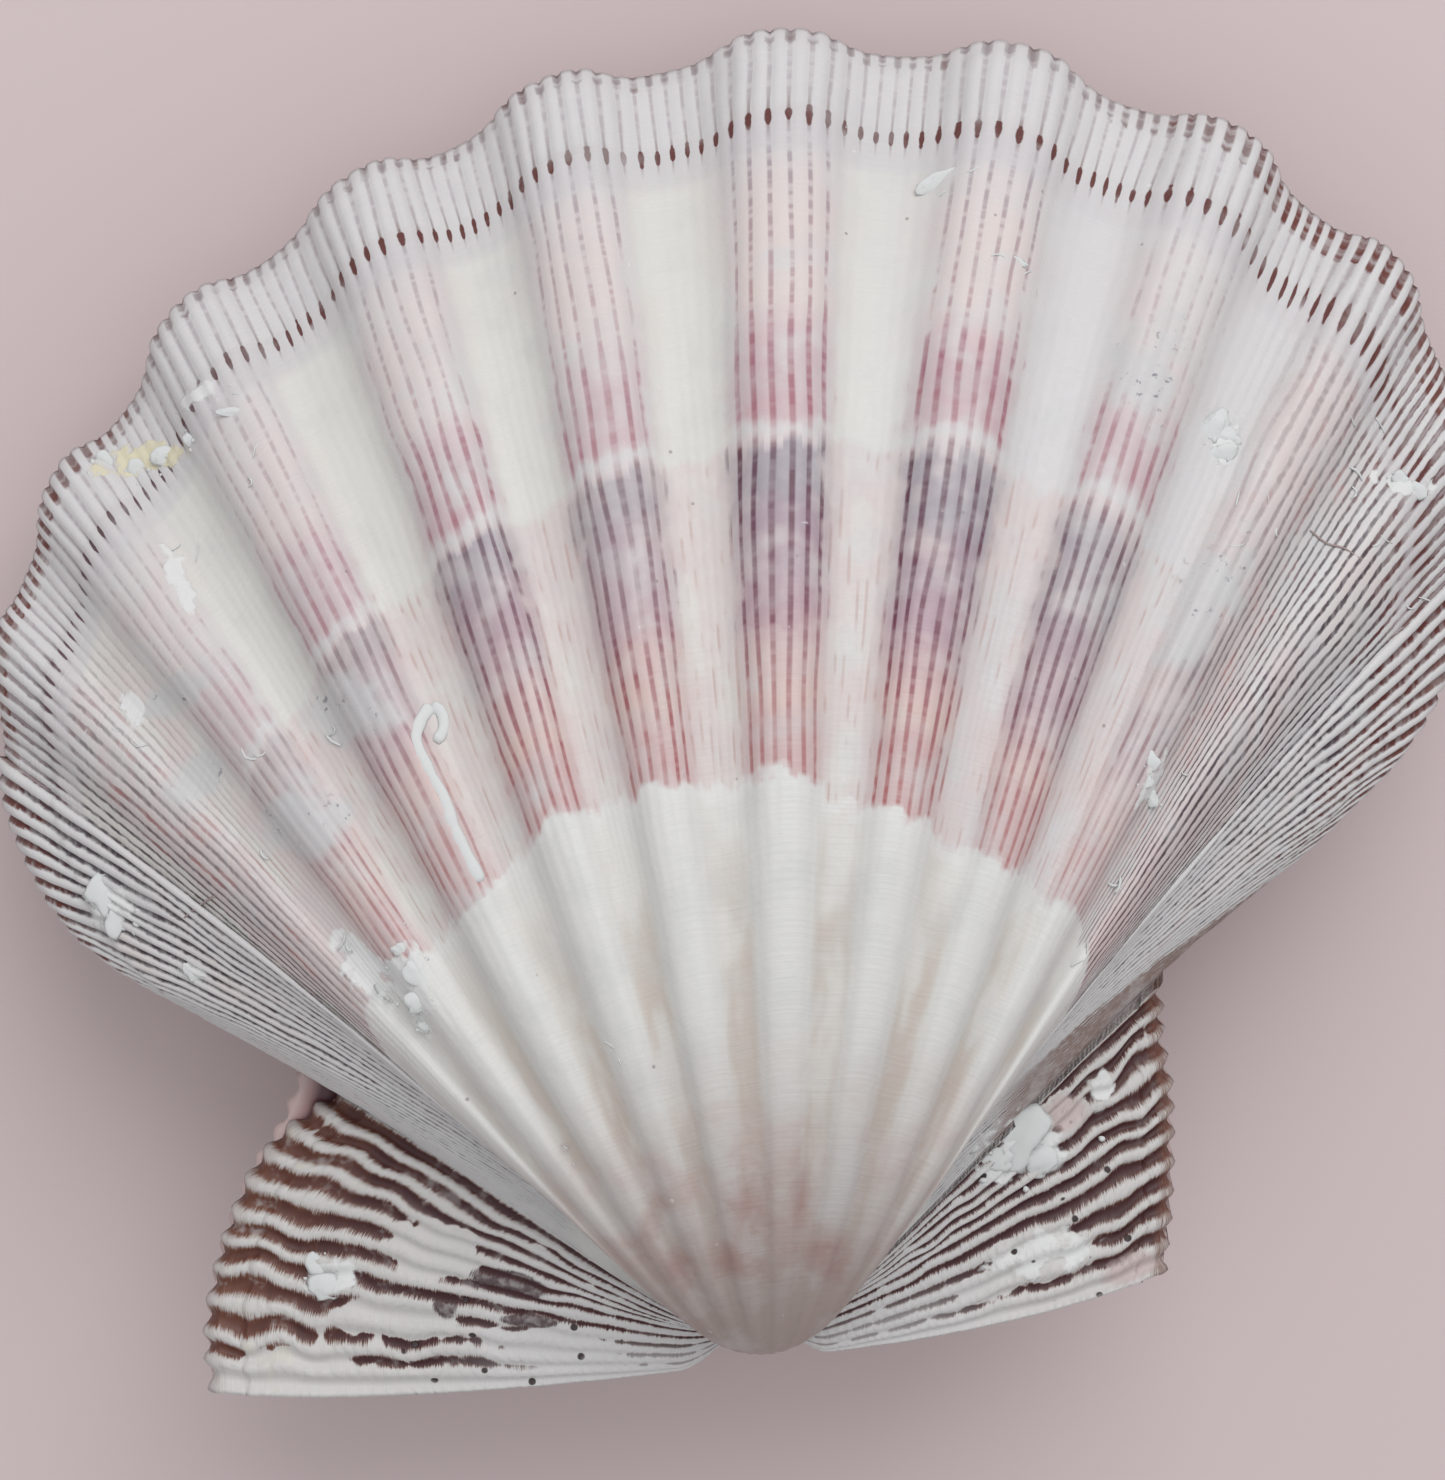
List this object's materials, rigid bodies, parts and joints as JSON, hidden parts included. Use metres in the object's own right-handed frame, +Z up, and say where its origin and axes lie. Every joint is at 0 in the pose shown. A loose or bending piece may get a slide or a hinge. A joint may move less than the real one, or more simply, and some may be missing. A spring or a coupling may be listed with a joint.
{
  "type": "lion paw scallop shell",
  "caption": "Closed scallop shell with broad rounded ribs, fine riblets, two unequal ears and a byssal notch; lies on the belly of its lower valve.",
  "frame": {"origin": "on the surface the shell lies on, under the middle of its bounding box", "axes": "+X along the hinge towards the ear with no notch, +Y from the hinge towards the free margin, +Z up out of the surface, through the right valve"},
  "size_m": [0.1436, 0.125, 0.0572],
  "materials": {
    "right_valve_shell": "satin",
    "left_valve_shell": "satin"
  },
  "bodies": {
    "root": {"right_valve": "right_valve_shell", "left_valve": "left_valve_shell"}
  },
  "joints": []
}
